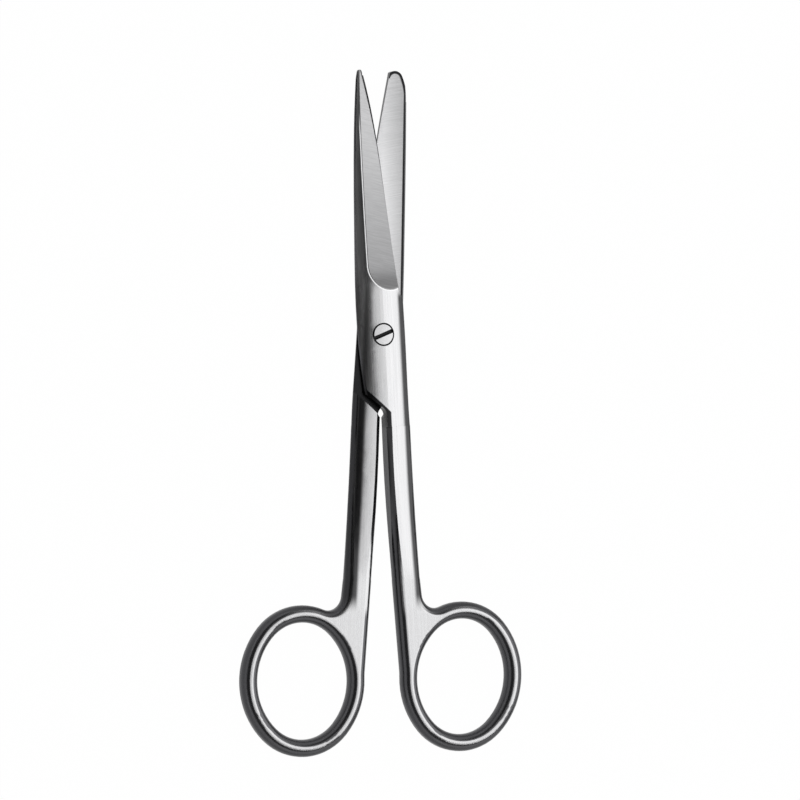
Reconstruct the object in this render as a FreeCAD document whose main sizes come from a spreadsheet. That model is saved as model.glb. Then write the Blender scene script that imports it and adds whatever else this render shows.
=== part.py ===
import FreeCAD, Part
import math
import os

import Sketcher

# Operating scissors, straight, one sharp and one blunt tip, lying flat.
# Origin: the pivot's axis at the underside of the joint. +Y runs to the tips,
# +X to the right and +Z up through the screw's slotted head. Millimetres.
#
# Each half is drawn closed, with its own blade on the left (-X), its shank on
# the right (+X) and its inner face in the plane z = 0. The sharp half lies as
# drawn. The blunt half is turned over about Y, so both shanks come out alike.

DOC = FreeCAD.newDocument("operating_scissors")

SIZES = [
    # joint and pivot
    ("half_thickness", 2.0),
    ("lap_gap", 0.04),
    ("rest_angle", 2.9),
    ("crown_radius", 11.0),
    ("crown_apex", 0.2),
    ("screw_radius", 1.5),
    ("screw_clearance", 0.05),
    ("head_radius", 2.25),
    ("head_depth", 1.0),
    ("head_rise", 0.1),
    ("head_edge", 0.1),
    ("seat_clearance", 0.1),
    ("slot_width", 0.62),
    ("slot_depth", 0.7),
    ("slot_angle", 22.0),
    # the two shoulders of the half lap, as slanting lines in plan
    ("lap_end_outer_x", -5.5),
    ("lap_end_outer_y", -11.5),
    ("lap_end_inner_y", -16.1),
    ("lap_corner_radius", 2.4),
    ("lap_corner_across", 1.1),
    ("lap_corner_along", 1.0),
    ("heel_outer_x", 5.5),
    ("heel_outer_y", -12.6),
    ("heel_inner_y", -17.5),
    ("heel_reach", 1.0),
    # shank
    ("neck_y", -19.5),
    ("neck_inner", -0.2),
    ("neck_outer", 5.7),
    ("shank_mid_y", -35.0),
    ("shank_mid_inner", -0.2),
    ("shank_mid_outer", 5.75),
    ("inner_bevel_width", 1.0),
    ("inner_bevel_depth", 0.8),
    ("shank_land", 0.05),
    ("root_y", -52.0),
    ("root_inner", 0.0),
    ("root_outer", 6.0),
    ("root_step", 0.02),
    # finger ring
    ("ring_x", 14.56),
    ("ring_y", -73.45),
    ("ring_half_width", 14.0),
    ("ring_half_length", 15.9),
    ("ring_end_share", 0.91),
    ("ring_band", 3.62),
    ("ring_lean", 5.5),
    ("ring_rounding", 1.74),
    ("crotch_radius", 3.2),
    ("ring_tuck", 0.12),
    ("ring_heel_radius", 12.0),
    ("ring_heel_rise", 2.0),
    ("crotch_drop", 6.0),
    ("root_flare", 0.6),
    ("root_reach", 0.8),
    # run-out of both blades, where the grinding wheel came in
    ("wheel_radius", 14.0),
    ("runout_y", 9.4),
    ("wheel_reach", 5.6),
    ("wheel_share", 1.6),
    # slope of a blade's ground face across and along, and its height at the pivot
    ("sharp_ground_angle", 11.3),
    ("sharp_ground_fall", 0.018),
    ("sharp_ground_height", 1.334),
    ("blunt_ground_angle", 6.84),
    ("blunt_ground_fall", -0.0038),
    ("blunt_ground_height", 1.17),
    # bevel where a blade's back meets its inner face
    ("sharp_back_edge", 0.3),
    ("blunt_back_edge", 0.45),
    # outlines of the two tips
    ("nose_across", 1.85),
    ("nose_along", 0.48),
    ("blunt_top_y", 55.85),
    ("blunt_nose_radius", 1.8),
    ("blunt_nose_x", 0.75),
    ("blunt_shoulder_x", -3.9),
    ("blunt_shoulder_y", 49.5),
    ("sharp_top_y", 55.95),
    ("sharp_nose_radius", 0.6),
    ("sharp_nose_x", -1.15),
    ("sharp_shoulder_x", -3.05),
    ("sharp_shoulder_y", 51.0),
]

# One row for each section of the bar that runs from the neck to the tip: its
# distance from the pivot, left and right side, and height.
SHARP_BAR = [
    ("neck", -19.5, 4.0, 5.7, 2.0),
    ("joint", -7.0, 5.0, 5.65, 2.0),
    ("front", 5.5, 5.42, 5.6, 2.0),
    ("low", 18.0, 5.07, 5.2, 1.87),
    ("mid", 30.5, 4.51, 4.6, 1.64),
    ("high", 43.0, 3.76, 3.6, 1.35),
    ("tip", 56.5, 2.42, 2.6, 0.86),
]
BLUNT_BAR = [
    ("neck", -19.5, 4.0, 5.7, 2.0),
    ("joint", -7.0, 5.0, 5.5, 2.0),
    ("front", 5.5, 5.22, 5.25, 2.0),
    ("low", 18.0, 5.0, 5.2, 1.98),
    ("mid", 30.5, 4.67, 4.8, 1.95),
    ("high", 43.0, 4.28, 4.4, 1.9),
    ("tip", 56.5, 3.7, 4.0, 1.8),
]
BAR_SIZES = ("y", "left", "right", "top")

# One row for each station of a cutting edge: its distance from the pivot, the
# edge's place, and the width and height of its bevel.
SHARP_EDGE = [
    ("root", 8.0, 5.05, 0.12, 0.25),
    ("low", 20.0, 3.60, 0.20, 0.30),
    ("mid", 32.0, 2.45, 0.35, 0.40),
    ("high", 44.0, 1.10, 0.60, 0.50),
    ("tip", 56.5, -1.25, 0.60, 0.55),
]
BLUNT_EDGE = [
    ("root", 8.0, 5.05, 0.10, 0.60),
    ("low", 20.0, 4.40, 0.10, 0.75),
    ("mid", 32.0, 3.45, 0.10, 0.95),
    ("high", 44.0, 1.98, 0.10, 1.10),
    ("tip", 56.5, 0.03, 0.10, 1.30),
]
EDGE_SIZES = ("y", "x", "bevel", "height")


def make_sheet():
    """Write every driving size into one spreadsheet, each with its alias."""
    sheet = DOC.addObject("Spreadsheet::Sheet", "Sizes")
    rows = list(SIZES)
    tables = (
        ("sharp_bar", SHARP_BAR, BAR_SIZES), ("blunt_bar", BLUNT_BAR, BAR_SIZES),
        ("sharp_edge", SHARP_EDGE, EDGE_SIZES), ("blunt_edge", BLUNT_EDGE, EDGE_SIZES),
    )
    for table, stations, names in tables:
        for station in stations:
            for name, value in zip(names, station[1:]):
                rows.append((f"{table}_{station[0]}_{name}", value))
    for row, (alias, value) in enumerate(rows, start=1):
        sheet.set(f"A{row}", alias)
        sheet.set(f"B{row}", str(value))
        sheet.setAlias(f"B{row}", alias)
    DOC.recompute()
    return sheet


SHEET = make_sheet()


class Size:
    """A length that knows its value and the expression that gives it."""

    def __init__(self, value, text):
        self.value = value
        self.text = text

    def __add__(self, other):
        other = as_size(other)
        return Size(self.value + other.value, f"({self.text} + {other.text})")

    def __radd__(self, other):
        return as_size(other) + self

    def __sub__(self, other):
        other = as_size(other)
        return Size(self.value - other.value, f"({self.text} - {other.text})")

    def __rsub__(self, other):
        return as_size(other) - self

    def __mul__(self, other):
        other = as_size(other)
        return Size(self.value * other.value, f"({self.text} * {other.text})")

    def __rmul__(self, other):
        return as_size(other) * self

    def __truediv__(self, other):
        other = as_size(other)
        return Size(self.value / other.value, f"({self.text} / {other.text})")

    def __neg__(self):
        return 0 - self


def as_size(number):
    """Turn a plain number into a Size, and leave a Size as it is."""
    if isinstance(number, Size):
        return number
    return Size(float(number), f"({number})")


def size(alias):
    """The named size from the spreadsheet."""
    return Size(float(SHEET.get(alias)), f"Sizes.{alias}")


def origin_plane(body, role):
    """One of a body's own origin planes, by its role."""
    for feature in body.Origin.OriginFeatures:
        if feature.Role == role:
            return feature
    raise ValueError(role)


def plane_sketch(body, name, role="XY_Plane"):
    """A sketch on one of the body's origin planes."""
    sketch = body.newObject("Sketcher::SketchObject", name)
    sketch.AttachmentSupport = [(origin_plane(body, role), "")]
    sketch.MapMode = "FlatFace"
    return sketch


def section_sketch(body, name, station):
    """A sketch across the scissors at a station: its x is X, its y is Z."""
    sketch = plane_sketch(body, name, "XZ_Plane")
    sketch.setExpression("AttachmentOffset.Base.z", (0 - station).text)
    return sketch


def pin(sketch, element, end, point):
    """Hold one end of a line or an arc at a point given by two sizes."""
    for kind, coordinate in zip(("DistanceX", "DistanceY"), point):
        constraint = Sketcher.Constraint(kind, -1, 1, element, end, coordinate.value)
        number = sketch.addConstraint(constraint)
        sketch.setExpression(f"Constraints[{number}]", coordinate.text)


def draw(sketch, points, bends=None):
    """A closed outline. bends gives the radius of a side that is an arc,
    positive where it bulges to the right of the way along the outline."""
    bends = bends or {}
    points = [(as_size(x), as_size(y)) for x, y in points]
    count = len(points)
    first = sketch.GeometryCount
    for side, start in enumerate(points):
        end = points[(side + 1) % count]
        start_at = FreeCAD.Vector(start[0].value, start[1].value, 0)
        end_at = FreeCAD.Vector(end[0].value, end[1].value, 0)
        if side in bends:
            bend = as_size(bends[side])
            radius = abs(bend.value)
            chord = end_at - start_at
            half = chord.Length / 2
            sagitta = radius - math.sqrt(max(radius * radius - half * half, 0))
            normal = FreeCAD.Vector(chord.y, -chord.x, 0).normalize()
            middle = (start_at + end_at) * 0.5 + normal * math.copysign(sagitta, bend.value)
            sketch.addGeometry(Part.Arc(start_at, middle, end_at), False)
        else:
            sketch.addGeometry(Part.LineSegment(start_at, end_at), False)
    ends = []
    for side in range(count):
        # an arc runs anticlockwise, so one that bulges to the left is reversed
        reversed_arc = side in bends and as_size(bends[side]).value < 0
        ends.append((2, 1) if reversed_arc else (1, 2))
    for side in range(count):
        element = first + side
        following = first + (side + 1) % count
        pin(sketch, element, ends[side][0], points[side])
        joined = Sketcher.Constraint(
            "Coincident", element, ends[side][1], following, ends[(side + 1) % count][0]
        )
        sketch.addConstraint(joined)
    for side, bend in bends.items():
        bend = as_size(bend)
        radius = bend if bend.value > 0 else 0 - bend
        number = sketch.addConstraint(Sketcher.Constraint("Radius", first + side, radius.value))
        sketch.setExpression(f"Constraints[{number}]", radius.text)


def loft(body, name, sketches, kind="PartDesign::AdditiveLoft"):
    """Join a row of sections into one smooth solid."""
    feature = body.newObject(kind, name)
    feature.Profile = sketches[0]
    feature.Sections = sketches[1:]
    feature.Ruled = False
    DOC.recompute()
    return feature


def crown(apex, outer, top, low, radius):
    """Where a crown arc of the given radius, level at its apex, meets the
    corner arc that ends upright at the outer wall, and that arc's radius."""
    width = outer - apex
    depth = top - low
    corner = (width * width + depth * depth - 2 * radius * depth) / (2 * (width - radius))
    share = radius / (radius - corner)
    meet_x = apex + share * (width - corner)
    meet_z = top - radius + share * (radius - depth)
    return (meet_x, meet_z), corner


def cut(body, name, sketch, length=None, reversed_way=False):
    """Cut the sketch through everything, or to a length, and prove it cut."""
    before = body.Shape.Volume
    pocket = body.newObject("PartDesign::Pocket", name)
    pocket.Profile = sketch
    if length is None:
        pocket.Type = "ThroughAll"
        pocket.Midplane = not reversed_way
    else:
        pocket.Length = length.value
        pocket.setExpression("Length", length.text)
    pocket.Reversed = reversed_way
    DOC.recompute()
    if pocket.Shape.Volume > before - 0.01:
        raise RuntimeError(f"{name} cut nothing")
    return pocket


def pad(body, name, sketch):
    """Raise a plan outline to the full thickness, half above and half below."""
    feature = body.newObject("PartDesign::Pad", name)
    feature.Profile = sketch
    feature.Midplane = True
    feature.Length = 2 * size("half_thickness").value
    feature.setExpression("Length", (2 * size("half_thickness")).text)
    DOC.recompute()
    return feature


def ring_outline(body, name, narrower):
    """The ring's leaning oval of four arcs, with a width taken off all round."""
    sketch = plane_sketch(body, name)
    lean = size("ring_lean")
    place = FreeCAD.Vector(size("ring_x").value, size("ring_y").value, 0)
    turn = FreeCAD.Rotation(FreeCAD.Vector(0, 0, -1), lean.value)
    sketch.AttachmentOffset = FreeCAD.Placement(place, turn)
    sketch.setExpression("AttachmentOffset.Base.x", "Sizes.ring_x")
    sketch.setExpression("AttachmentOffset.Base.y", "Sizes.ring_y")
    sketch.setExpression("AttachmentOffset.Rotation.Angle", "Sizes.ring_lean")
    half_width = size("ring_half_width")
    end_arc = half_width * size("ring_end_share")
    # the end arcs' centres lie on the long axis, the side arcs' on the short
    up = size("ring_half_length") - end_arc
    side_arc = (half_width * half_width + up * up - end_arc * end_arc) / (2 * (half_width - end_arc))
    along = side_arc - half_width
    share = (side_arc - narrower) / (side_arc - end_arc)
    meet_x = along * share - along
    meet_y = up * share
    draw(sketch, [
        (meet_x, 0 - meet_y),
        (meet_x, meet_y),
        (0 - meet_x, meet_y),
        (0 - meet_x, 0 - meet_y),
    ], {0: side_arc - narrower, 1: end_arc - narrower, 2: side_arc - narrower, 3: end_arc - narrower})
    return sketch


def fillet(body, name, base, edges, radius):
    """Round the chosen edges of the last feature."""
    feature = body.newObject("PartDesign::Fillet", name)
    feature.Base = (base, edges)
    feature.Radius = radius.value
    feature.setExpression("Radius", radius.text)
    DOC.recompute()
    return feature


def upright_edge(shape, x, y):
    """The name of the upright edge nearest to a place in plan."""
    best = None
    for number, edge in enumerate(shape.Edges, start=1):
        box = edge.BoundBox
        if box.XLength > 0.01 or box.YLength > 0.01:
            continue
        away = math.hypot(box.XMin - x, box.YMin - y)
        if best is None or away < best[0]:
            best = (away, f"Edge{number}")
    return best[1]


def rim_edges(shape):
    """The names of the edges round the flat faces, apart from the open end."""
    top = size("half_thickness").value
    root = size("root_y").value
    names = []
    for number, edge in enumerate(shape.Edges, start=1):
        box = edge.BoundBox
        if box.ZLength > 0.01 or abs(abs(box.ZMin) - top) > 0.01:
            continue
        if box.YMin > root - 0.01:
            continue
        names.append(f"Edge{number}")
    return names


def make_ring(body):
    """The finger ring and its root: one flat plate, rounded all round."""
    inner = size("root_inner")
    outer = size("root_outer")
    root = size("root_y")
    pad(body, "ring_blank", ring_outline(body, "ring_outer", as_size(0)))
    side = size("ring_x") - size("ring_half_width")
    plate = plane_sketch(body, "root_outline")
    draw(plate, [
        (inner, root),
        (side + size("ring_tuck"), size("ring_y") + size("root_flare")),
        (size("ring_x"), size("ring_y") + size("ring_heel_rise")),
        (outer + size("root_flare"), size("ring_y") + size("root_reach") * size("ring_half_length")),
        (outer, root),
    ])
    blank = pad(body, "root_plate", plate)
    crotch = upright_edge(blank.Shape, outer.value, root.value - size("crotch_drop").value)
    crotch_fillet = fillet(body, "crotch", blank, [crotch], size("crotch_radius"))
    heel = upright_edge(crotch_fillet.Shape, side.value,
                        size("ring_y").value + size("ring_heel_rise").value)
    fillet(body, "ring_heel", crotch_fillet, [heel], size("ring_heel_radius"))
    hole = cut(body, "ring_hole", ring_outline(body, "ring_inner", size("ring_band")))
    fillet(body, "ring_rim", hole, rim_edges(hole.Shape), size("ring_rounding"))


def shank_section(body, name, y, inner, outer):
    """Across the shank: bevelled inner side, crowned faces, half-round outer side."""
    top = size("half_thickness")
    width = size("inner_bevel_width")
    depth = size("inner_bevel_depth")
    radius = size("crown_radius")
    land = size("shank_land")
    apex = inner + width
    (meet_x, meet_z), corner = crown(apex, outer, top, land, radius)
    sketch = section_sketch(body, name, y)
    draw(sketch, [
        (inner, depth - top),
        (apex, 0 - top),
        (meet_x, 0 - meet_z),
        (outer, 0 - land),
        (outer, land),
        (meet_x, meet_z),
        (apex, top),
        (inner, top - depth),
    ], {1: radius, 2: corner, 4: corner, 5: radius})
    return sketch


def root_section(body, name):
    """Across the shank's root: flat, rounded as the ring is, just inside it."""
    step = size("root_step")
    rounding = size("ring_rounding")
    top = size("half_thickness") - step
    inner = size("root_inner") + step
    outer = size("root_outer") - step
    sketch = section_sketch(body, name, size("root_y"))
    draw(sketch, [
        (inner, rounding - top),
        (inner + rounding, 0 - top),
        (outer - rounding, 0 - top),
        (outer, rounding - top),
        (outer, top - rounding),
        (outer - rounding, top),
        (inner + rounding, top),
        (inner, top - rounding),
    ], {0: rounding, 2: rounding, 4: rounding, 6: rounding})
    return sketch


def make_shank(body):
    """The tapered shank, from the neck under the joint to the ring's root."""
    loft(body, "shank", [
        root_section(body, "shank_root"),
        shank_section(body, "shank_mid", size("shank_mid_y"), size("shank_mid_inner"),
                      size("shank_mid_outer")),
        shank_section(body, "shank_neck", size("neck_y"), size("neck_inner"), size("neck_outer")),
    ])


def heel_section(body, name, y):
    """The lower half of the neck's section, up to the parting plane."""
    top = size("half_thickness")
    inner = size("neck_inner")
    outer = size("neck_outer")
    land = size("shank_land")
    apex = inner + size("inner_bevel_width")
    radius = size("crown_radius")
    (meet_x, meet_z), corner = crown(apex, outer, top, land, radius)
    sketch = section_sketch(body, name, y)
    draw(sketch, [
        (inner, size("lap_gap")),
        (inner, size("inner_bevel_depth") - top),
        (apex, 0 - top),
        (meet_x, 0 - meet_z),
        (outer, 0 - land),
        (outer, size("lap_gap")),
    ], {2: radius, 3: corner})
    return sketch


def make_heel(body):
    """The shank's lower half carried up to its oblique shoulder under the joint."""
    outer = size("heel_outer_x")
    inner = size("neck_inner")
    reach = size("heel_reach")
    end = size("heel_outer_y") + reach
    loft(body, "heel", [
        heel_section(body, "heel_low", size("neck_y")),
        heel_section(body, "heel_high", end),
    ])
    slope = (size("heel_outer_y") - size("heel_inner_y")) / (outer - inner)
    far = outer + 4 * reach
    near = inner - reach
    shoulder = plane_sketch(body, "shoulder_outline")
    draw(shoulder, [
        (far, size("heel_outer_y") + (far - outer) * slope),
        (far, end + 5 * reach),
        (near, end + 5 * reach),
        (near, size("heel_inner_y") - reach * slope),
    ])
    cut(body, "shoulder", shoulder)


def bar_section(body, blade, station, back_edge):
    """Across the bar, above the parting plane: one low crown."""
    place = {name: size(f"{blade}_bar_{station}_{name}") for name in BAR_SIZES}
    sketch = section_sketch(body, f"{blade}_bar_{station}", place["y"])
    face = size("lap_gap") / 2
    apex = size("crown_apex")
    top = place["top"]
    left = place["left"]
    radius = size("crown_radius")
    (right_x, right_z), right_corner = crown(apex, place["right"], top, face, radius)
    (left_x, left_z), left_corner = crown(0 - apex, left, top, face + back_edge, radius)
    draw(sketch, [
        (back_edge - left, face),
        (place["right"], face),
        (right_x, right_z),
        (apex, top),
        (0 - left_x, left_z),
        (0 - left, face + back_edge),
    ], {1: right_corner, 2: radius, 3: radius, 4: left_corner})
    return sketch


def make_bar(body, blade, stations):
    """The forged bar of joint and blade in one, from the neck to the tip."""
    back_edge = size(f"{blade}_back_edge")
    loft(body, "bar", [bar_section(body, blade, station[0], back_edge) for station in stations])
    lap_end = plane_sketch(body, "lap_end_outline")
    inner = size("neck_inner")
    outer = size("lap_end_outer_x")
    slope = (size("lap_end_outer_y") - size("lap_end_inner_y")) / (inner - outer)
    corner = size("lap_corner_radius")
    across = size("lap_corner_across")
    reach = size("heel_reach")
    past_neck = size("neck_y") - reach
    far = outer - 4 * reach
    draw(lap_end, [
        (far, size("lap_end_outer_y") + 4 * reach * slope),
        (inner - across, size("lap_end_inner_y") + across * slope),
        (inner, size("lap_end_inner_y") - size("lap_corner_along")),
        (inner, past_neck),
        (far, past_neck),
    ], {1: 0 - corner})
    return cut(body, "lap_end", lap_end)


def grind(body, blade):
    """Grind the blade's outer face flat, with the wheel's hollow as its run-out."""
    angle = size(f"{blade}_ground_angle")
    fall = size(f"{blade}_ground_fall")
    across = math.cos(math.radians(angle.value))
    upright = Size(across, f"cos({angle.text} * 1 deg)")
    height = size(f"{blade}_ground_height") * upright
    fall = fall * upright
    wheel = size("wheel_radius")
    reach = size("wheel_reach")
    start = size("runout_y") + reach
    level = height - start * fall
    end = start - size("wheel_share") * reach
    chord = start - end
    rise = chord * chord / (2 * wheel) + chord * chord * chord * chord / (8 * wheel * wheel * wheel)
    top = 4 * size("half_thickness")
    far = size("sharp_top_y") + reach
    outline = plane_sketch(body, "ground_outline", "YZ_Plane")
    lean = FreeCAD.Rotation(FreeCAD.Vector(1, 0, 0), angle.value)
    outline.AttachmentOffset = FreeCAD.Placement(FreeCAD.Vector(), lean)
    outline.setExpression("AttachmentOffset.Rotation.Angle", angle.text)
    draw(outline, [
        (start, level),
        (far, height - far * fall),
        (far, top),
        (end, top),
        (end, level + rise + chord * fall),
    ], {4: wheel})
    return cut(body, "ground_face", outline)


def edge_section(body, blade, station):
    """What is ground away beside a cutting edge, at one station."""
    place = {name: size(f"{blade}_edge_{station}_{name}") for name in EDGE_SIZES}
    edge = place["x"]
    face = size("lap_gap") / 2
    top = 2 * size("half_thickness")
    far = size("heel_outer_x") + 4 * size("heel_reach")
    steps = (top - face) / place["height"]
    sketch = section_sketch(body, f"{blade}_edge_{station}", place["y"])
    draw(sketch, [
        (edge, 0 - top),
        (far, 0 - top),
        (far, top),
        (edge - place["bevel"] * steps, top),
        (edge, face),
    ])
    return sketch


def make_edge(body, blade, stations):
    """The cutting edge with its bevel, from the run-out to the tip."""
    before = body.Shape.Volume
    sections = [edge_section(body, blade, station[0]) for station in stations]
    edge = loft(body, "cutting_edge", sections, "PartDesign::SubtractiveLoft")
    if edge.Shape.Volume > before - 1:
        raise RuntimeError("cutting_edge cut nothing")


def round_tip(body, blade):
    """Round a tip in plan: a long arc on the back and a short one at the nose."""
    top = size(f"{blade}_top_y")
    nose = size(f"{blade}_nose_radius")
    right = size(f"{blade}_nose_x")
    shoulder_x = size(f"{blade}_shoulder_x")
    shoulder_y = size(f"{blade}_shoulder_y")
    far = size("heel_outer_x") + 4 * size("heel_reach")
    nose_x = right - size("nose_across") * nose
    nose_y = top - size("nose_along") * nose
    across = nose_x - shoulder_x
    along = nose_y - shoulder_y
    outline = plane_sketch(body, "tip_outline")
    draw(outline, [
        (shoulder_x, shoulder_y),
        (nose_x, nose_y),
        (right - nose, top),
        (right, top - nose),
        (right, top - 2 * nose),
        (far, top - 2 * nose),
        (far, top + 4 * nose),
        (0 - far, top + 4 * nose),
        (0 - far, shoulder_y),
    ], {0: 0 - (across * across + along * along) / (2 * across), 1: 0 - nose, 2: 0 - nose})
    cut(body, "rounded_tip", outline)


def make_half(label, blade, bar, edge):
    """One whole half, drawn closed with its inner face in the plane z = 0."""
    body = DOC.addObject("PartDesign::Body", label)
    body.Label = label
    make_ring(body)
    make_shank(body)
    make_heel(body)
    make_bar(body, blade, bar)
    grind(body, blade)
    make_edge(body, blade, edge)
    round_tip(body, blade)
    return body


def disc(body, name, radius, height=None):
    """A circle about the pivot's axis, in plan, at a height."""
    sketch = plane_sketch(body, name)
    circle = Part.Circle(FreeCAD.Vector(), FreeCAD.Vector(0, 0, 1), radius.value)
    number = sketch.addGeometry(circle, False)
    sketch.addConstraint(Sketcher.Constraint("Coincident", number, 3, -1, 1))
    held = sketch.addConstraint(Sketcher.Constraint("Radius", number, radius.value))
    sketch.setExpression(f"Constraints[{held}]", radius.text)
    if height is not None:
        sketch.setExpression("AttachmentOffset.Base.z", height.text)
    return sketch


def make_sharp_half():
    """The upper half: pointed blade, plain bore and a seat for the screw's head."""
    body = make_half("sharp_half", "sharp", SHARP_BAR, SHARP_EDGE)
    bore = size("screw_radius") + size("screw_clearance")
    cut(body, "screw_bore", disc(body, "screw_bore_outline", bore))
    seat = size("head_radius") + size("seat_clearance")
    floor = size("half_thickness") - size("head_depth")
    seat_outline = disc(body, "head_seat_outline", seat, floor)
    cut(body, "head_seat", seat_outline, length=2 * size("head_depth"), reversed_way=True)
    turn = FreeCAD.Rotation(FreeCAD.Vector(0, 0, 1), size("rest_angle").value)
    place = FreeCAD.Vector(0, 0, size("half_thickness").value)
    body.Placement = FreeCAD.Placement(place, turn)
    return body


def make_blunt_half():
    """The lower half: round-nosed blade and the tapped hole, turned over."""
    body = make_half("blunt_half", "blunt", BLUNT_BAR, BLUNT_EDGE)
    cut(body, "tapped_hole", disc(body, "tapped_hole_outline", size("screw_radius")))
    over = FreeCAD.Rotation(FreeCAD.Vector(0, 1, 0), 180)
    turn = FreeCAD.Rotation(FreeCAD.Vector(0, 0, -1), size("rest_angle").value)
    place = FreeCAD.Vector(0, 0, size("half_thickness").value)
    body.Placement = FreeCAD.Placement(place, turn * over)
    return body


def make_screw():
    """The pivot screw: slotted head flush with the top, end flush below."""
    body = DOC.addObject("PartDesign::Body", "pivot_screw")
    body.Label = "pivot_screw"
    shaft = size("screw_radius")
    head = size("head_radius")
    top = 2 * size("half_thickness")
    seat = top - size("head_depth") + size("lap_gap")
    rise = size("head_rise")
    edge = size("head_edge")
    dome = head - edge
    nought = as_size(0)
    profile = plane_sketch(body, "screw_profile", "XZ_Plane")
    draw(profile, [
        (nought, nought),
        (shaft, nought),
        (shaft, seat),
        (head, seat),
        (head, top - rise - edge),
        (dome, top - rise),
        (nought, top),
    ], {5: (dome * dome + rise * rise) / (2 * rise)})
    turned = body.newObject("PartDesign::Revolution", "turned_screw")
    turned.Profile = profile
    turned.ReferenceAxis = (profile, ["V_Axis"])
    turned.Angle = 360
    DOC.recompute()
    half_slot = size("slot_width") / 2
    reach = head + 1
    slot = plane_sketch(body, "slot_outline")
    slot.AttachmentOffset = FreeCAD.Placement(
        FreeCAD.Vector(), FreeCAD.Rotation(FreeCAD.Vector(0, 0, 1), size("slot_angle").value)
    )
    slot.setExpression("AttachmentOffset.Rotation.Angle", "Sizes.slot_angle")
    slot.setExpression("AttachmentOffset.Base.z", (top - size("slot_depth")).text)
    draw(slot, [(0 - reach, 0 - half_slot), (reach, 0 - half_slot),
                (reach, half_slot), (0 - reach, half_slot)])
    cut(body, "driver_slot", slot, length=2 * size("slot_depth"), reversed_way=True)
    return body


def check(body):
    """Stop if any feature failed or the solid isn't sound."""
    for feature in DOC.Objects:
        if "Invalid" in feature.State or "Error" in feature.State:
            raise RuntimeError(f"{feature.Name} failed")
    shape = body.Shape
    if shape.isNull() or not shape.isValid() or len(shape.Solids) != 1:
        raise RuntimeError(f"{body.Label} isn't one sound solid")


def main():
    """Build each piece, check it and write it out."""
    pieces = [make_sharp_half(), make_blunt_half(), make_screw()]
    DOC.recompute()
    os.makedirs("parts", exist_ok=True)
    for piece in pieces:
        check(piece)
    for piece in pieces:
        piece.Shape.exportStep(f"parts/{piece.Label}.step")
        print(piece.Label, round(piece.Shape.Volume, 1), "mm3")


main()
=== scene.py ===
# %% [markdown]
# Operating scissors in satin stainless steel, lying flat on a white table.
# The three pieces, two halves and their screw, come from the solid model with
# their true shape. This lesson gives them the finishes that a scissors maker
# leaves on them, together with painted shade, reflection and highlights, and
# then sets up the light and the camera of the picture.

import math
from functools import partial

import bpy
from mathutils import Matrix, Vector

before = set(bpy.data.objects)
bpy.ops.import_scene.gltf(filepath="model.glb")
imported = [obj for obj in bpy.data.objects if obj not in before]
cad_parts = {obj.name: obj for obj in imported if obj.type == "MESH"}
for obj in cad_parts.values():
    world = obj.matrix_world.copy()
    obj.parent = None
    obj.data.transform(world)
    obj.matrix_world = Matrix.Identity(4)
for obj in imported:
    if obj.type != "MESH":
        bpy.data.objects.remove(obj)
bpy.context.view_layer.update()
MM = 0.001
print("nodes:", sorted(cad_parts))

# %% [markdown]
# Colours are written as hex values, as a colour picker shows them. Blender's
# shaders work with linear light, so one function turns each value over.

# %% Colours
def colour(hexadecimal):
    """An sRGB hex value as linear red, green, blue and alpha."""
    channels = [int(hexadecimal[i:i + 2], 16) / 255 for i in (1, 3, 5)]
    linear = [c / 12.92 if c <= 0.04045 else ((c + 0.055) / 1.055) ** 2.4 for c in channels]
    return (*linear, 1.0)


print("middle grey is", round(colour("#808080")[0], 3), "in linear light")

# %% [markdown]
# One small function adds any node. Its settings go by name. Its inputs go in
# the order in which Blender shows them, or by name in a dictionary, and each is
# a plain value, an output, or a whole node, which stands for the first output
# that it shows. So every material below reads as a list of steps. The five node
# types that come back most often have a short name, and so has the setting that
# makes a Map Range rise smoothly from 0 to 1 instead of evenly.

# %% Adding nodes
MATH = "ShaderNodeMath"
VECTOR_MATH = "ShaderNodeVectorMath"
RANGE = "ShaderNodeMapRange"
MIX = "ShaderNodeMix"
SPLIT = "ShaderNodeSeparateXYZ"
SMOOTH = {"interpolation_type": "SMOOTHSTEP"}


def node(tree, kind, *inputs, links=None, **settings):
    """Add a node, set its settings, and link or set its inputs."""
    made = tree.nodes.new(kind)
    for name, value in settings.items():
        setattr(made, name, value)
    shown = [socket for socket in made.inputs if socket.enabled]
    pairs = list(zip(shown, inputs))
    pairs += [(made.inputs[name], value) for name, value in (links or {}).items()]
    for socket, value in pairs:
        if isinstance(value, bpy.types.Node):
            value = next(output for output in value.outputs if output.enabled)
        if isinstance(value, bpy.types.NodeSocket):
            tree.links.new(value, socket)
        else:
            socket.default_value = value
    return made


def blank_material(name):
    """A material without nodes, and the function above set to add nodes to it."""
    material = bpy.data.materials.new(name)
    material.use_nodes = True
    material.node_tree.nodes.clear()
    return material, partial(node, material.node_tree)


# %% [markdown]
# Each half of the scissors leans by half of the opening angle. A pattern that
# should run along a shank, or across a blade, has to lean with it. A Mapping
# node turns the object coordinates into the half's own: x across it in
# millimetres, with its shank at plus, y along it to the tip, and z from its flat
# inner face outward. The lower half is the upper one turned over, so its x and
# its z are mirrored.

# %% Own coordinates of a half, in millimetres
REST_ANGLE = math.radians(2.9)
INNER_FACE = 2.0


def own_place(add, mirrored):
    """Object coordinates turned to lie square with one half, in millimetres."""
    side = -1.0 if mirrored else 1.0
    return add("ShaderNodeMapping", add("ShaderNodeTexCoord").outputs["Object"], links={
        "Location": (0.0, 0.0, -side * INNER_FACE),
        "Rotation": (0.0, 0.0, -REST_ANGLE),
        "Scale": (side / MM, 1.0 / MM, side / MM),
    })


print("each half leans by", round(math.degrees(REST_ANGLE), 1), "degrees")

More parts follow.
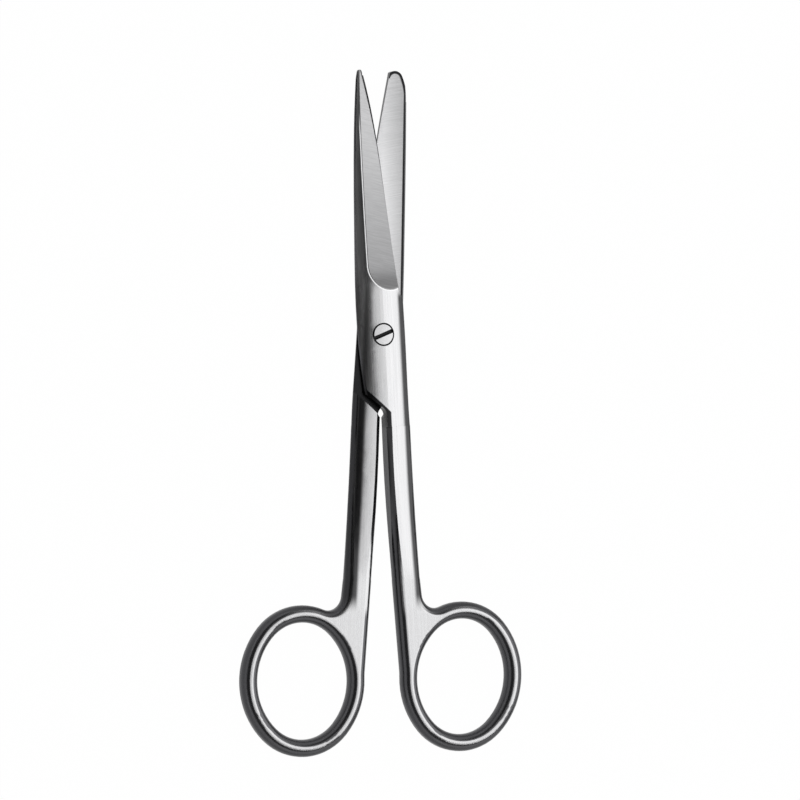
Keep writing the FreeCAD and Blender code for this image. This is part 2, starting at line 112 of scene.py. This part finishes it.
# %% [markdown]
# Forged scissors are ground on belts and wheels. On the blades the wheel runs
# across, which leaves fine lines from the back to the edge. Shanks and rings
# are brushed lengthwise and softly polished. The lines are drawn as noise that
# is stretched along them. Real grit of 240 leaves lines of about 0.06 mm, too
# fine to show at this distance, so they are drawn 0.1 to 0.3 mm apart.

# %% Grinding lines
WHEEL_LINES = {"angle": 14.0, "fine": 4.6, "long": 0.12}
WHEEL_HAIRS = {"angle": 14.0, "fine": 12.0, "long": 0.25}
BRUSH_LINES = {"angle": 90.0, "fine": 3.2, "long": 0.06}


def lines(add, place, angle, fine, long):
    """Streaks at an angle to x: fine per millimetre across, long along."""
    turned = add("ShaderNodeMapping", place, links={"Rotation": (0.0, 0.0, math.radians(angle))})
    stretched = add("ShaderNodeMapping", turned, links={"Scale": (long, fine, 1.0)})
    noise = add("ShaderNodeTexNoise", stretched, links={
        "Scale": 1.0, "Detail": 3.0, "Roughness": 0.6,
    })
    return noise.outputs["Fac"]


for drawn in (WHEEL_LINES, WHEEL_HAIRS, BRUSH_LINES):
    print("lines", round(1.0 / drawn["fine"], 2), "mm apart, at", drawn["angle"], "degrees")

# %% [markdown]
# Where one finish meets the other is a matter of how the blade was made. The
# wheel enters the blade just in front of the joint, where it leaves a hollow of
# its own radius, the run-out, and then follows the blade to the tip. Its path is
# a straight line with a round end, seen along the slope of the ground face. So
# the first step is to measure, in millimetres, how far a point is from it.

# %% The wheel's path
WHEEL_RADIUS = 14.0
RUNOUT_END = 15.0
ROUND_START = (0.0, -0.1)
SHARP_GROUND = {"angle": 11.3, "fall": 0.018, "height": 1.334}
BLUNT_GROUND = {"angle": 6.84, "fall": -0.0038, "height": 1.17}


def wheel_path(add, split, ground):
    """How far a point is from the path, past the run-out, and below the ground face."""
    slope = math.radians(ground["angle"])
    upright = math.cos(slope)
    level = (ground["height"] - ground["fall"] * RUNOUT_END) * upright
    up = add(MATH, split["X"], math.sin(slope), -level, operation="MULTIPLY_ADD")
    up = add(MATH, split["Z"], upright, up, operation="MULTIPLY_ADD")
    past = add(MATH, split["Y"], RUNOUT_END, operation="SUBTRACT")
    over = add(MATH, past, ground["fall"] * upright, up, operation="MULTIPLY_ADD")
    rise = add(MATH, up, WHEEL_RADIUS, operation="SUBTRACT")
    square = add(MATH, rise, rise, operation="MULTIPLY")
    square = add(MATH, past, past, square, operation="MULTIPLY_ADD")
    away = add(MATH, square, operation="SQRT")
    inside = add(MATH, WHEEL_RADIUS, away, operation="SUBTRACT")
    on_round = add(RANGE, past, *ROUND_START, **SMOOTH)
    off = add(MIX, on_round, over, inside, data_type="FLOAT")
    below = add(MATH, 0.0, over, operation="SUBTRACT")
    return add(MATH, off, operation="ABSOLUTE"), past, below


print("the wheel's path is straight from", RUNOUT_END, "mm in front of the screw")

# %% [markdown]
# A point is on the ground face where it lies on that path, to within less than
# a tenth of a millimetre. Where the face ends, a fine bright line is painted as
# a highlight on the strip just off the path, along the ridge and round the
# run-out. The inner faces are simpler: they all lie at one height.

# %% The ground faces
FACE_EDGE = (0.08, 0.05)
LINE_EDGE = (0.20, 0.14)
RIDGE_LINE = (-0.8, -1.2)
RUNOUT_LINE = (-2.5, -3.0)
LINE_END = (33.0, 27.0)
INNER_EDGE = (0.06 * MM, 0.03 * MM)


def ground_face(add, split, ground):
    """1 on a blade's ground face, 1 on the painted highlight line round it, and how far below it
    a point is.
    """
    off, past, below = wheel_path(add, split, ground)
    face = add(RANGE, off, *FACE_EDGE, **SMOOTH)
    line = add(MATH, add(RANGE, off, *LINE_EDGE, **SMOOTH), face, operation="SUBTRACT")
    by_ridge = add(RANGE, split["X"], *RIDGE_LINE, **SMOOTH)
    by_runout = add(RANGE, past, *RUNOUT_LINE, **SMOOTH)
    near = add(MATH, by_ridge, by_runout, operation="MAXIMUM")
    near = add(MATH, near, add(RANGE, past, *LINE_END, **SMOOTH), operation="MULTIPLY")
    return face, add(MATH, line, near, operation="MULTIPLY"), below


def parting_face(add):
    """1 on the flat inner faces, where the two halves slide on each other."""
    height = add(SPLIT, add("ShaderNodeTexCoord").outputs["Object"]).outputs["Z"]
    away = add(MATH, height, INNER_FACE * MM, operation="SUBTRACT")
    away = add(MATH, away, operation="ABSOLUTE")
    return add(RANGE, away, *INNER_EDGE, **SMOOTH)


print("the bright line is", round((sum(LINE_EDGE) - sum(FACE_EDGE)) / 2, 2), "mm wide")

# %% [markdown]
# Stainless steel of the martensitic kind used for blades reflects a little over
# half of the light, and evenly over all colours, so it looks neutral. It is a
# plain metal: metallic 1 and the default IOR. The base colour follows the slope
# of the surface as painted reflection and shade. Level faces are painted light,
# as if they mirrored the soft boxes, and steep flanks a much darker grey, as if
# they mirrored the dark room. On the round rings the slope counts more, so only
# their crest gets the painted highlight.

# %% Painted reflection and shade by slope
STEPS = (0.00, 0.30, 0.62, 0.87, 0.925, 1.00)
# Painted reflection and shade: dark greys on steep faces, light greys on level faces.
BAR_GREYS = ("#3E3E40", "#454547", "#4A4A4C", "#3A3A3B", "#BEBEBF", "#C7C7C8")
RING_GREYS = ("#48484A", "#515153", "#59595B", "#5E5E60", "#BEBEBF", "#C4C4C5")
RINGS_TOP = (-57.0, -60.0)
RING_POWER = 7.0


def graded(add, level, greys):
    """A grey for each level, evenly joined."""
    ramp = add("ShaderNodeValToRGB", level)
    stops = ramp.color_ramp.elements
    for place in STEPS[2:]:
        stops.new(place)
    for stop, place, grey in zip(stops, STEPS, greys):
        stop.position = place
        stop.color = colour(grey)
    return ramp


def painted_shade_by_slope(add, on_ring, level):
    """Painted reflection and shade by how level the surface is, more so on the rings."""
    steeper = add(MATH, level, RING_POWER, operation="POWER")
    bar = graded(add, level, BAR_GREYS)
    ring = graded(add, steeper, RING_GREYS)
    return add(MIX, on_ring, bar, ring, data_type="RGBA")


# Faces that lean less than this angle get the painted highlight.
print("polished where it leans less than", round(math.degrees(math.acos(STEPS[4]))), "degrees")

# %% [markdown]
# The inner face of the round-nosed blade gets a dark rim of painted shade, about
# half a millimetre wide, along its straight back and round the arc of its nose.
# The rim is drawn as three simple shapes, which are quick to compute and follow
# the outline: a slanting line and two circles, each as x, y and radius.

# %% Painted shade round the round-nosed blade
RIM = 0.60
RIM_SOFT = 0.10
RIM_START = (0.0, 0.2)
BACK_TOP = (-3.83, 49.5)
BACK_SLOPE = 0.0263
BACK_CIRCLE = (8.17, 49.5, 12.07)
NOSE_CIRCLE = (-1.05, 54.05, 1.80)
NOSE_LEFT = NOSE_CIRCLE[0] - 1.0


def outside(add, across, along, circle):
    """1 beyond a circle's rim, above its middle, 0 inside it."""
    x, y, radius = circle
    dx = add(MATH, across, x, operation="SUBTRACT")
    dy = add(MATH, add(MATH, along, y, operation="SUBTRACT"), 0.0, operation="MAXIMUM")
    square = add(MATH, dy, dy, operation="MULTIPLY")
    away = add(MATH, add(MATH, dx, dx, square, operation="MULTIPLY_ADD"), operation="SQRT")
    edge = radius - RIM
    far = add(RANGE, away, edge - RIM_SOFT, edge + RIM_SOFT, **SMOOTH)
    return add(MATH, far, add(RANGE, dy, *RIM_START, **SMOOTH), operation="MULTIPLY")


def painted_rim_shade(add, across, along):
    """1 on the painted shade along the rim of the round-nosed blade's inner face."""
    from_top = add(MATH, BACK_TOP[1], along, operation="SUBTRACT")
    back = add(MATH, from_top, -BACK_SLOPE, BACK_TOP[0], operation="MULTIPLY_ADD")
    inward = add(MATH, across, back, operation="SUBTRACT")
    straight = add(RANGE, inward, RIM + RIM_SOFT, RIM - RIM_SOFT, **SMOOTH)
    arc = outside(add, across, along, BACK_CIRCLE)
    by_nose = add(MATH, across, NOSE_LEFT, operation="GREATER_THAN")
    nose = add(MATH, outside(add, across, along, NOSE_CIRCLE), by_nose, operation="MULTIPLY")
    return add(MATH, straight, add(MATH, arc, nose, operation="MAXIMUM"), operation="MAXIMUM")


print("the rim is", RIM, "mm wide")

# %% [markdown]
# Two strips of painted shade come next. The upper half has a short bevel beside
# the lap's end, painted dark. The outer sides of shank and joint are painted
# dark too, darkest at the strip's inner border. Both are strips at a known
# distance from a straight side of the half.

# %% Painted shade on the bevel and the outer sides
LAP_CORNER = -16.4
LAP_BEVEL = (0.90, 0.65)
LAP_BEVEL_END = (-20.0, -19.4)
SIDE = 5.68
SIDE_TAPER = -0.0147
TAPER_TOP = -35.0
SIDE_SHADE_SOFT = 0.45
SIDE_SHADE_BORDER = (1.8, 1.1)
BORDER_DARK = 0.92
SIDE_SHADE_TOP = (9.5, 7.5)
SIDE_SHADE_END = (-59.0, -55.0)


def lap_bevel_shade(add, across, along):
    """1 on the painted shade beside the lap's end, down to the shank's own bevel."""
    taper = add(MATH, LAP_CORNER, along, operation="SUBTRACT")
    taper = add(MATH, taper, 0.0, operation="MINIMUM")
    inward = add(MATH, across, taper, operation="SUBTRACT")
    near = add(RANGE, inward, *LAP_BEVEL, **SMOOTH)
    return add(MATH, near, add(RANGE, along, *LAP_BEVEL_END, **SMOOTH), operation="MULTIPLY")


def painted_side_shade(add, across, along, width, dark):
    """How dark the painted shade on the outer side of shank and joint is, most at its inner
    border.
    """
    below = add(MATH, add(MATH, along, TAPER_TOP, operation="SUBTRACT"), 0.0, operation="MINIMUM")
    side = add(MATH, below, SIDE_TAPER, SIDE, operation="MULTIPLY_ADD")
    inward = add(MATH, side, across, operation="SUBTRACT")
    side_shade = add(RANGE, inward, width + SIDE_SHADE_SOFT, width - SIDE_SHADE_SOFT, **SMOOTH)
    border = add(RANGE, inward, *(width - share for share in SIDE_SHADE_BORDER), **SMOOTH)
    border = add(MATH, border, BORDER_DARK - dark, operation="MULTIPLY")
    side_shade = add(MATH, side_shade, add(MATH, border, dark, operation="ADD"), operation="MULTIPLY")
    side_shade = add(MATH, side_shade, add(RANGE, along, *SIDE_SHADE_TOP, **SMOOTH), operation="MULTIPLY")
    return add(MATH, side_shade, add(RANGE, along, *SIDE_SHADE_END, **SMOOTH), operation="MULTIPLY")


# The rolled sides in this print are the strips of painted shade.
print("the rolled sides run from", SIDE_SHADE_TOP[0], "to", SIDE_SHADE_END[0], "mm along a half")

# %% [markdown]
# The outer flank of the pointed half is painted with shade and reflection. It is
# darkest right under its top edge and lighter further down. On the blade that is
# measured from the ground face, and beside the screw from a line that slants a
# little to the left as it goes down.

# %% Painted shade on the flank of the pointed half
FLANK = {"depth": (0.15, 1.3), "share": (0.32, 1.6), "side": (0.5, -0.5)}
JOINT_SLANT = -0.084
JOINT_TOP = (-3.6, -2.3, 0.42, 1.0)
JOINT_SIDE = (-4.0, -4.6, 0.42, 1.2)
FLANK_START = (9.0, 13.0)


def painted_flank_shade(add, split, below):
    """How much of its grey the flank of the pointed half keeps under the painted shade."""
    blade = add(RANGE, below, *FLANK["depth"], *FLANK["share"])
    outer = add(RANGE, split["X"], *FLANK["side"], **SMOOTH)
    blade = add(MIX, outer, 1.0, blade, data_type="FLOAT")
    slanted = add(MATH, split["Y"], JOINT_SLANT, split["X"], operation="MULTIPLY_ADD")
    top = add(RANGE, slanted, *JOINT_TOP)
    joint = add(MATH, top, add(RANGE, slanted, *JOINT_SIDE), operation="MAXIMUM")
    on_blade = add(RANGE, split["Y"], *FLANK_START, **SMOOTH)
    return add(MIX, on_blade, joint, blade, data_type="FLOAT")


print("the flank keeps", FLANK["share"][0], "of its grey at the top,", FLANK["share"][1], "below")

# %% [markdown]
# The ground faces are greyer than the polished ones, since their lines scatter
# the light. The pointed blade is painted a little darker towards the joint, and
# the inner face towards its back and its tip, as painted shade. Round the screw
# and behind it the inner faces are painted dark, as shadow round the joint. Each
# range gives where the change starts and ends, in millimetres, and the shares.

# %% Greys and painted shade of the ground faces
GROUND_GREY = "#A6A6A7"
PARTING_GREY = "#B8B8B9"
# The one dark grey of every painted shade and shadow on the steel.
PAINTED_SHADE_GREY = "#262627"
JOINT_SHADE_EDGE = (5.0, 8.0)
TO_TIP = (12.0, 42.0, 0.62, 1.06)
TO_EDGE = (-4.8, 1.0, 0.72, 1.30)
TO_NOSE = (26.0, 48.0, 1.10, 0.86)


def blade_grey_and_shade(add, split):
    """The ground face of a blade, painted a little darker towards the joint."""
    to_tip = add(RANGE, split["Y"], *TO_TIP)
    return add(VECTOR_MATH, colour(GROUND_GREY)[:3], to_tip, operation="SCALE")


def inner_grey_and_shade(add, split, mirrored):
    """The inner face, with painted shade towards its back and tip, painted shadow round and
    behind the screw, and a rim of painted shade round the nose.
    """
    share = add(MATH, add(RANGE, split["X"], *TO_EDGE), add(RANGE, split["Y"], *TO_NOSE),
                operation="MULTIPLY")
    grey = add(VECTOR_MATH, colour(PARTING_GREY)[:3], share, operation="SCALE")
    unshaded = add(RANGE, split["Y"], *JOINT_SHADE_EDGE, **SMOOTH)
    grey = add(MIX, unshaded, colour(PAINTED_SHADE_GREY), grey, data_type="RGBA")
    if mirrored:
        rim_shade = painted_rim_shade(add, split["X"], split["Y"])
        grey = add(MIX, rim_shade, grey, colour(PAINTED_SHADE_GREY), data_type="RGBA")
    return grey


# The oil in this print is the painted shadow round and behind the screw.
print("oil reaches", JOINT_SHADE_EDGE[1], "mm in front of the screw")

# %% [markdown]
# The outside takes painted reflection and shade from its slope, and over it come
# the painted shade of the flank and of the outer sides, and the painted highlight
# along the wheel's line. Last, a thin ring of painted shade stands round the
# screw, where it meets the halves: the outer face shows it round the head, and
# the inner face round the shaft.

# %% Greys of a whole half
# The painted highlight along the wheel's line.
HIGHLIGHT_GREY = "#D2D2D3"
SEAM_SOFT = 0.04


def outside_grey_and_shade(add, split, mirrored, level, on_ring, line, below, side_shade):
    """The outside of a half, with painted reflection and shade by slope, painted shade on its
    sides and the painted highlight line.
    """
    grey = painted_shade_by_slope(add, on_ring, level)
    if not mirrored:
        grey = add(VECTOR_MATH, grey, painted_flank_shade(add, split, below), operation="SCALE")
    shaded_side = painted_side_shade(add, split["X"], split["Y"], **side_shade)
    grey = add(MIX, shaded_side, grey, colour(PAINTED_SHADE_GREY), data_type="RGBA")
    return add(MIX, line, grey, colour(HIGHLIGHT_GREY), data_type="RGBA")


def with_gap_shade(add, split, grey, mirrored, seam):
    """A grey with the painted shade of the lap's bevel on the upper half, and a ring of painted
    shade round the screw.
    """
    if not mirrored:
        bevel_shade = lap_bevel_shade(add, split["X"], split["Y"])
        grey = add(MIX, bevel_shade, grey, colour(PAINTED_SHADE_GREY), data_type="RGBA")
    flat = add("ShaderNodeCombineXYZ", split["X"], split["Y"])
    radius = add(VECTOR_MATH, flat, operation="LENGTH")
    near = add(RANGE, radius, seam + SEAM_SOFT, seam - SEAM_SOFT, **SMOOTH)
    return add(MIX, near, grey, colour(PAINTED_SHADE_GREY), data_type="RGBA")


print("the seam's border is soft over", 2 * SEAM_SOFT, "mm")

# %% [markdown]
# The lines themselves: the wheel's on the ground and inner faces, the brush's
# elsewhere. On the round part of the rings they are polished away, which here
# means the pattern's middle value. The same pattern moves the roughness, the
# grey and a very shallow bump, because a scratch changes all three. On the
# wheel's bright line the steel faces up, like the burr that it is. The relief is
# a pair: what the ground and inner faces add, and what every face has.

# %% Relief of the lines
HAIR_SHARE = 0.5
MIDDLE = 0.5
RELIEF = (0.7, 0.3)
ROUND_LEVEL = (0.998, 0.990)
LINE_DEPTH = 0.03 * MM
BUMP_STRENGTH = 0.5
BURR_SHARE = 0.8
BURR_NORMAL = (0.05, 0.0, 1.0)


def line_pattern(add, place, worked, on_ring, level):
    """The wheel's lines where a face is ground, and the brush's lines elsewhere."""
    wheel = add(MATH, lines(add, place, **WHEEL_LINES), 1.0 - HAIR_SHARE, operation="MULTIPLY")
    hairs = lines(add, place, **WHEEL_HAIRS)
    wheel = add(MATH, hairs, HAIR_SHARE, wheel, operation="MULTIPLY_ADD")
    pattern = add(MIX, worked, lines(add, place, **BRUSH_LINES), wheel, data_type="FLOAT")
    polished = add(RANGE, level, *ROUND_LEVEL, **SMOOTH)
    polished = add(MATH, on_ring, polished, operation="MULTIPLY")
    return add(MIX, polished, pattern, MIDDLE, data_type="FLOAT")


def line_relief(add, pattern, worked, line):
    """The normals: a shallow bump from the lines, and the burr of the bright line."""
    depth = add(MATH, worked, *RELIEF, operation="MULTIPLY_ADD")
    bump = add("ShaderNodeBump", links={
        "Strength": BUMP_STRENGTH, "Distance": LINE_DEPTH,
        "Height": add(MATH, pattern, depth, operation="MULTIPLY"),
    })
    burr = add(MATH, line, BURR_SHARE, operation="MULTIPLY")
    return add(MIX, burr, bump, BURR_NORMAL, data_type="VECTOR")


print("the lines are at most", round(LINE_DEPTH / MM, 2), "mm deep")

# %% [markdown]
# Now the steel is put together. A satin finish has a roughness of about 0.25 to
# 0.4, the ground faces a little more than the polished ones. One function makes
# the material of both halves, because they differ only in which side they lie
# on, how their blade is ground, the radius of the painted shade round the screw
# and how wide and dark the painted shade on the sides is. The pairs are again
# what the ground faces add and what every face has.

# %% Satin ground stainless steel
GLOSS = (0.07, 0.23)
GLOSS_BY_LINES = 0.10
STREAK = (0.5, 0.4)


def satin_steel(name, mirrored, ground, seam, side_shade):
    """Ground blade faces and softly polished shanks, with their painted shade, reflection and
    highlight, in one material.
    """
    material, add = blank_material(name)
    place = own_place(add, mirrored)
    split = add(SPLIT, place).outputs
    facing = add(SPLIT, add("ShaderNodeNewGeometry").outputs["Normal"])
    level = add(MATH, facing.outputs["Z"], operation="ABSOLUTE")
    on_ring = add(RANGE, split["Y"], *RINGS_TOP, **SMOOTH)
    blade, line, below = ground_face(add, split, ground)
    worked = add(MATH, blade, parting_face(add), operation="MAXIMUM")
    outside_shaded = outside_grey_and_shade(add, split, mirrored, level, on_ring, line, below, side_shade)
    inner = inner_grey_and_shade(add, split, mirrored)
    inside = add(MIX, blade, inner, blade_grey_and_shade(add, split), data_type="RGBA")
    grey = add(MIX, worked, outside_shaded, inside, data_type="RGBA")
    grey = with_gap_shade(add, split, grey, mirrored, seam)
    pattern = line_pattern(add, place, worked, on_ring, level)
    streak = add(MATH, worked, *STREAK, operation="MULTIPLY_ADD")
    shade = add(MATH, pattern, MIDDLE, operation="SUBTRACT")
    shade = add(MATH, shade, streak, 1.0, operation="MULTIPLY_ADD")
    gloss = add(MATH, worked, *GLOSS, operation="MULTIPLY_ADD")
    shine = add("ShaderNodeBsdfPrincipled", links={
        "Base Color": add(VECTOR_MATH, grey, shade, operation="SCALE"),
        "Metallic": 1.0,
        "Roughness": add(MATH, pattern, GLOSS_BY_LINES, gloss, operation="MULTIPLY_ADD"),
        "Normal": line_relief(add, pattern, worked, line),
    })
    add("ShaderNodeOutputMaterial", shine)
    return material


def give(name, material):
    """Put a material on a solid piece."""
    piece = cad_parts[name]
    piece.material_slots[0].material = material
    print(name, "is", material.name, "with", len(material.node_tree.nodes), "nodes")


give("sharp_half", satin_steel(
    "satin_ground_stainless_upper", mirrored=False, ground=SHARP_GROUND,
    seam=2.46, side_shade={"width": 1.75, "dark": 0.92}))
give("blunt_half", satin_steel(
    "satin_ground_stainless_lower", mirrored=True, ground=BLUNT_GROUND,
    seam=1.60, side_shade={"width": 2.3, "dark": 0.58}))

# %% [markdown]
# The screw is turned on a lathe, so its head carries fine rings round its
# middle. The slot and the head's rim are painted dark, as shade inside the slot
# and round the rim. So its steel keeps its own grey only on the head's flat top,
# inside the rim and beside the slot, and the slot is found by turning the
# coordinates with it.

# %% Unshaded top of the screw's head
HEAD_TOP = 3.88 * MM
HEAD_TOP_SOFT = 0.06 * MM
HEAD_RIM = 2.12
SLOT_ANGLE = math.radians(22.0)
SLOT_HALF = 0.43
UNSHADED_SOFT = 0.03


def unshaded_top(add, place, flat):
    """1 on the flat top of the head, beside its slot, and 0 where the painted shade goes."""
    height = add(SPLIT, place).outputs["Z"]
    high = add(RANGE, height, HEAD_TOP - HEAD_TOP_SOFT, HEAD_TOP, **SMOOTH)
    radius = add(VECTOR_MATH, flat, operation="LENGTH")
    within = add(RANGE, radius, HEAD_RIM + UNSHADED_SOFT, HEAD_RIM - UNSHADED_SOFT, **SMOOTH)
    unshaded = add(MATH, high, within, operation="MULTIPLY")
    turned = add("ShaderNodeMapping", flat, links={"Rotation": (0.0, 0.0, -SLOT_ANGLE)})
    beside = add(MATH, add(SPLIT, turned).outputs["Y"], operation="ABSOLUTE")
    beside = add(RANGE, beside, SLOT_HALF - UNSHADED_SOFT, SLOT_HALF + UNSHADED_SOFT, **SMOOTH)
    return add(MATH, unshaded, beside, operation="MULTIPLY")


print("the slot is", 2 * SLOT_HALF, "mm wide and the head's rim", 2 * HEAD_RIM, "mm across")

# %% [markdown]
# The turning rings are a wave that goes round the screw's axis. A wave of scale
# 1 is 0.31 mm long, so these rings are 0.29 mm apart. A lathe leaves them about
# 0.1 mm apart, which is too fine to show in the picture. They move the roughness
# and a shallow bump.

# %% Turned stainless steel screw
HEAD_GREY = "#C4C4C5"
TURNING = {"Scale": 1.1, "Distortion": 0.6, "Detail": 2.0}
TURNING_DEPTH = 0.01 * MM
TURNING_STRENGTH = 0.25
HEAD_GLOSS = (0.06, 0.28)


def turned_steel():
    """Fine turning rings on the screw's head, with painted shade in its slot and round its rim.
    """
    material, add = blank_material("turned_stainless_screw")
    place = add("ShaderNodeTexCoord").outputs["Object"]
    flat = add("ShaderNodeMapping", place, links={"Scale": (1.0 / MM, 1.0 / MM, 0.0)})
    wave = add("ShaderNodeTexWave", flat, links=TURNING,
               wave_type="RINGS", rings_direction="Z").outputs["Fac"]
    unshaded = unshaded_top(add, place, flat)
    shine = add("ShaderNodeBsdfPrincipled", links={
        # The head's own grey on its flat top, and painted shade in the slot and round the rim.
        "Base Color": add(MIX, unshaded, colour(PAINTED_SHADE_GREY), colour(HEAD_GREY), data_type="RGBA"),
        "Metallic": 1.0,
        "Roughness": add(MATH, wave, *HEAD_GLOSS, operation="MULTIPLY_ADD"),
        "Normal": add("ShaderNodeBump", links={
            "Strength": TURNING_STRENGTH, "Distance": TURNING_DEPTH, "Height": wave,
        }),
    })
    add("ShaderNodeOutputMaterial", shine)
    return material


give("pivot_screw", turned_steel())

# %% [markdown]
# The table is a plain white sheet. It shows white to the camera and in the
# steel's reflections, with only a hundredth of matt paper in it, so the shadow
# there is very faint, as on a lit table. A Light Path node tells which ray is
# looking, so the sheet can be white without more light on the steel.

# %% White table
WHITE_SHARE = 0.99
TABLE_SIZE = 3.0
TABLE_HEIGHT = -0.05 * MM


def white_table():
    """Matt white paper that shows as white."""
    material, add = blank_material("matt_white_paper")
    seen = add("ShaderNodeLightPath").outputs
    shown = add(MATH, seen["Is Camera Ray"], seen["Is Glossy Ray"], operation="MAXIMUM")
    shown = add(MATH, shown, seen["Is Transmission Ray"], operation="MAXIMUM")
    share = add(MATH, shown, WHITE_SHARE, operation="MULTIPLY")
    paper = add("ShaderNodeBsdfDiffuse", colour("#F6F6F6"))
    white = add("ShaderNodeEmission", colour("#FFFFFF"), 1.0)
    add("ShaderNodeOutputMaterial", add("ShaderNodeMixShader", share, paper, white))
    return material


bpy.ops.object.select_all(action="DESELECT")
bpy.ops.mesh.primitive_plane_add(size=TABLE_SIZE, location=(0.0, 0.0, TABLE_HEIGHT))
table = bpy.context.object
table.name = "table_top"
table.data.materials.append(white_table())
print("table is", table.dimensions.x, "m wide")

# %% [markdown]
# Polished metal shows the room more than itself. A strip of two soft boxes runs
# from nearly overhead down to the right, so level faces and faces that lean
# right are bright, and it is narrow, so only the crest of the round rings
# catches it. The rest of the room is dark overhead, which gives the left flanks
# their dark lines. Five low grey walls of light stand round the other sides of
# the table, so that the steel reads well from everywhere.

# %% Soft light
WALL_SIDES = (60, 120, 180, 240, 300)


def soft_box(name, side, lean, distance, width, length, radiance):
    """A rectangular lamp, leaning from overhead to a side, that looks at the joint."""
    aside = Matrix.Rotation(math.radians(side), 4, "Z")
    turn = aside @ Matrix.Rotation(math.radians(lean), 4, "Y")
    place = turn @ Vector((0.0, 0.0, distance))
    lamp = bpy.data.lights.new(name, "AREA")
    lamp.shape = "RECTANGLE"
    lamp.size = width
    lamp.size_y = length
    lamp.energy = radiance * math.pi * width * length
    box = bpy.data.objects.new(name, lamp)
    bpy.context.scene.collection.objects.link(box)
    box.matrix_world = Matrix.Translation(place) @ turn
    print(name, "at", [round(value, 2) for value in place])


soft_box("overhead_soft_box", side=0.0, lean=10.0, distance=0.80,
         width=0.34, length=0.62, radiance=1.00)
soft_box("key_soft_box", side=0.0, lean=51.0, distance=0.80,
         width=0.90, length=0.62, radiance=1.62)
for wall in WALL_SIDES:
    soft_box(f"grey_wall_{wall}", side=float(wall), lean=67.0, distance=0.90,
             width=0.66, length=0.98, radiance=0.95)

# %% [markdown]
# The room itself gives a little even light, so that no crevice is quite black.

# %% Plain room
ROOM_LIGHT = 0.055

world =bpy.data.worlds.new("plain_room")
bpy.context.scene.world = world
world.use_nodes = True
room = world.node_tree.nodes["Background"]
room.inputs["Color"].default_value = colour("#FFFFFF")
room.inputs["Strength"].default_value = ROOM_LIGHT
print("room light is", ROOM_LIGHT)

# %% [markdown]
# The picture was taken from a metre above the table, leaning about 24 degrees
# to the left. The lens is long, so the near ring is hardly larger than the far
# one. The camera's three axes are written out, and they make its matrix.

# %% Camera
CAMERA_LEAN = math.radians(23.9)
CAMERA_DISTANCE = 1.013
CAMERA_TARGET = Vector((3.77, -13.83, 3.67)) * MM
CAMERA_ROLL = math.radians(0.3)
LENS_LENGTH = 216.0
LENS_SENSOR = 36.0

level = Vector((math.cos(CAMERA_LEAN), 0.0, math.sin(CAMERA_LEAN)))
along = Vector((0.0, 1.0, 0.0))
right = level * math.cos(CAMERA_ROLL) - along * math.sin(CAMERA_ROLL)
up = level * math.sin(CAMERA_ROLL) + along * math.cos(CAMERA_ROLL)
back = right.cross(up)
eye = CAMERA_TARGET + back * CAMERA_DISTANCE
lens = bpy.data.cameras.new("camera")
lens.lens = LENS_LENGTH
lens.sensor_width = LENS_SENSOR
camera = bpy.data.objects.new("camera", lens)
bpy.context.scene.collection.objects.link(camera)
camera.matrix_world = Matrix.Translation(eye) @ Matrix((right, up, back)).transposed().to_4x4()
bpy.context.scene.camera = camera
bpy.context.scene.view_settings.view_transform = "Standard"
print("camera at", [round(value, 3) for value in eye])
